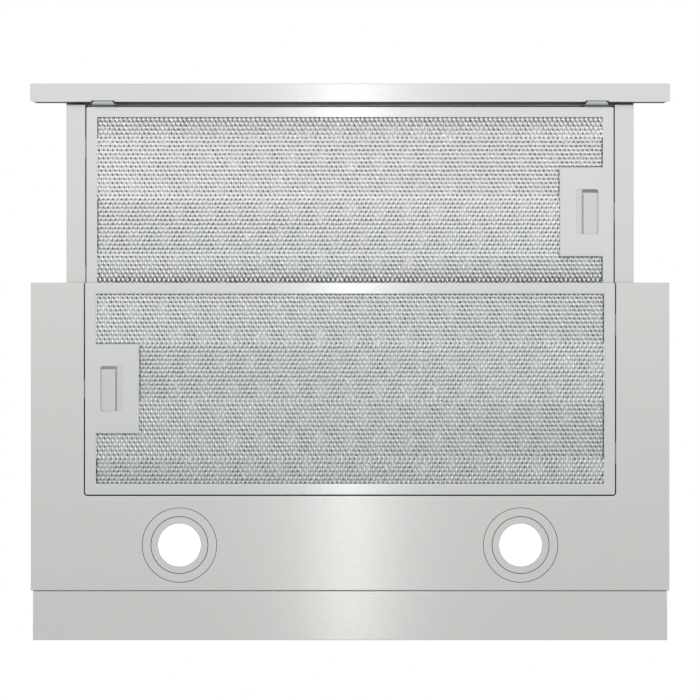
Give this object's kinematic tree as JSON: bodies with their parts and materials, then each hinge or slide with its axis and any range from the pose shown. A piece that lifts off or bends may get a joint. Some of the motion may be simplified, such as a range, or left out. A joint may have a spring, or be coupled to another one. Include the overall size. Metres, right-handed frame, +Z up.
{
  "type": "telescopic range hood",
  "caption": "Slide-out kitchen extractor hood with a sliding filter visor, mesh grease filters, lamps, blower and top duct spigot.",
  "frame": {"origin": "on the duct axis, in the plane of the duct spigot's mouth", "axes": "+Z up along the duct axis, +X to the right of the hood seen from the front, +Y towards the wall"},
  "size_m": [0.598, 0.5204, 0.215],
  "materials": {
    "steel": "satin, fine vertical grain",
    "zinc_sheet": "galvanised sheet",
    "zinc_part": "bright zinc",
    "alloy": "satin anodised",
    "filter_mesh": "expanded metal, bare",
    "filter_pad": "stacked expanded metal in shadow",
    "black_plastic": "moulded, fine grain",
    "grey_plastic": "moulded",
    "white_plastic": "moulded",
    "button_metal": "satin turned caps",
    "copper_winding": "enamelled winding",
    "lens": "opal diffuser, lit",
    "screw": "zinc plated"
  },
  "bodies": {
    "hood": {"underside_panel": "steel", "deck_plate": "zinc_sheet", "housing_shell": "zinc_sheet", "duct_collar": "black_plastic", "scroll_left": "black_plastic", "scroll_right": "black_plastic", "motor_stator": "copper_winding", "motor_shell": "zinc_sheet", "motor_bracket": "zinc_sheet", "run_capacitor": "white_plastic", "capacitor_clip": "zinc_part", "terminal_box": "grey_plastic", "terminal_lid": "black_plastic", "cable_gland": "black_plastic", "lamp_driver": "white_plastic", "runner_left": "zinc_sheet", "runner_right": "zinc_sheet", "body_glides": "white_plastic", "filter_frame_fixed": "alloy", "filter_mesh_fixed": "filter_mesh", "filter_core_fixed": "filter_pad", "latch_plate_fixed": "alloy", "latch_springs_fixed": "zinc_part", "lamp_can_left": "grey_plastic", "lamp_bezel_left": "steel", "lamp_lens_left": "lens", "lamp_can_right": "grey_plastic", "lamp_bezel_right": "steel", "lamp_lens_right": "lens", "led_boards": "white_plastic", "rear_spacer": "steel", "cabinet_bracket_left": "zinc_part", "cabinet_bracket_right": "zinc_part", "case_screws": "screw", "motor_screws": "screw"},
    "visor": {"visor_tray": "steel", "visor_glides": "white_plastic", "front_bar": "steel", "bar_bracket_left": "zinc_part", "bar_bracket_right": "zinc_part", "switch_block": "black_plastic", "filter_frame_visor": "alloy", "filter_mesh_visor": "filter_mesh", "filter_core_visor": "filter_pad", "latch_plate_visor": "alloy", "latch_springs_visor": "zinc_part", "bar_screws": "screw"},
    "impeller": {"impeller": "white_plastic", "motor_shaft": "zinc_part", "motor_rotor": "zinc_sheet"},
    "flap_front": {"flap_front": "grey_plastic"},
    "flap_rear": {"flap_rear": "grey_plastic"},
    "catch_fixed": {"latch_slider_fixed": "grey_plastic"},
    "catch_visor": {"latch_slider_visor": "grey_plastic"},
    "button_stop": {"button_stop": "button_metal"},
    "button_low": {"button_low": "button_metal"},
    "button_medium": {"button_medium": "button_metal"},
    "button_high": {"button_high": "button_metal"},
    "button_lamp": {"button_lamp": "button_metal"}
  },
  "joints": [
    {"name": "visor_slide", "type": "slide", "parent": "hood", "child": "visor", "axis": [0, 1, 0], "range_m": [0, 0.166]},
    {"name": "impeller_spin", "type": "hinge", "parent": "hood", "child": "impeller", "pos_m": [0, -0.05174, -0.0978], "axis": [1, 0, 0], "continuous": true},
    {"name": "flap_front_swing", "type": "hinge", "parent": "hood", "child": "flap_front", "pos_m": [0, -0.0048, -0.026], "axis": [-1, 0, 0], "range_deg": [0, 75]},
    {"name": "flap_rear_swing", "type": "hinge", "parent": "hood", "child": "flap_rear", "pos_m": [0, 0.0048, -0.026], "axis": [1, 0, 0], "range_deg": [0, 75]},
    {"name": "catch_fixed_slide", "type": "slide", "parent": "hood", "child": "catch_fixed", "axis": [1, 0, 0], "range_m": [0, 0.005], "stiffness_N_per_m": 500, "springref_m": -0.003, "deforming": ["latch_springs_fixed"]},
    {"name": "catch_visor_slide", "type": "slide", "parent": "visor", "child": "catch_visor", "axis": [-1, 0, 0], "range_m": [0, 0.005], "stiffness_N_per_m": 500, "springref_m": -0.003, "deforming": ["latch_springs_visor"]},
    {"name": "button_stop_press", "type": "slide", "parent": "visor", "child": "button_stop", "axis": [0, 1, 0], "range_m": [0, 0.002], "stiffness_N_per_m": 500, "springref_m": -0.002},
    {"name": "button_low_press", "type": "slide", "parent": "visor", "child": "button_low", "axis": [0, 1, 0], "range_m": [0, 0.002], "stiffness_N_per_m": 500, "springref_m": -0.002},
    {"name": "button_medium_press", "type": "slide", "parent": "visor", "child": "button_medium", "axis": [0, 1, 0], "range_m": [0, 0.002], "stiffness_N_per_m": 500, "springref_m": -0.002},
    {"name": "button_high_press", "type": "slide", "parent": "visor", "child": "button_high", "axis": [0, 1, 0], "range_m": [0, 0.002], "stiffness_N_per_m": 500, "springref_m": -0.002},
    {"name": "button_lamp_press", "type": "slide", "parent": "visor", "child": "button_lamp", "axis": [0, 1, 0], "range_m": [0, 0.002], "stiffness_N_per_m": 500, "springref_m": -0.002}
  ]
}
